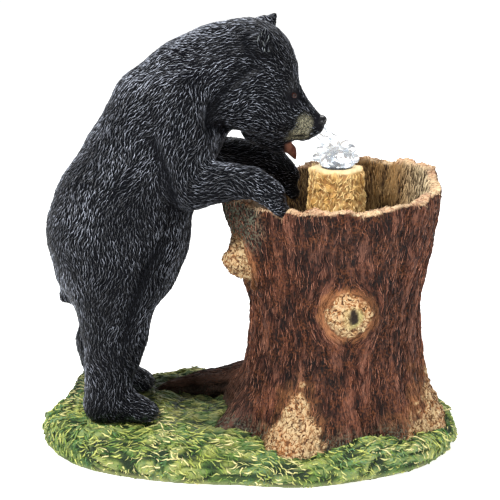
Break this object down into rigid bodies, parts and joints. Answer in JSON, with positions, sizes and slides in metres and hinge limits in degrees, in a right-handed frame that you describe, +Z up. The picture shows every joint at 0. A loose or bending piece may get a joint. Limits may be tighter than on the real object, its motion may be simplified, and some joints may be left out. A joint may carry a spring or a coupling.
{
  "type": "garden fountain",
  "caption": "Garden fountain of a bear cub drinking from a tree-stump basin on turf, with a pump cover log and ring of lights.",
  "frame": {"origin": "centre of the turf's bounding box, at ground level", "axes": "+X the way the bear faces, towards the stump; +Z up; the bear's right side is at -Y"},
  "size_m": [0.5032, 0.3295, 0.5182],
  "materials": {
    "turf": "cast resin carved as matted grass, painted green with yellow dry brushing",
    "bark": "cast resin carved as bark, painted reddish brown with a pale rim and tan knots",
    "fur": "cast resin carved as fur, painted blue-black with grey dry brushing",
    "log_wood": "cast resin painted as weathered yellow wood",
    "light_housing": "smooth moulded black plastic",
    "lamp": "clear white light-emitting diode lens"
  },
  "bodies": {
    "root": {"turf_base": "turf", "stump_basin": "bark", "bear_cub": "fur", "pump_log": "log_wood", "light_ring": "light_housing", "lamp_1": "lamp", "lamp_2": "lamp", "lamp_3": "lamp", "lamp_4": "lamp", "lamp_5": "lamp", "lamp_6": "lamp"}
  },
  "joints": []
}
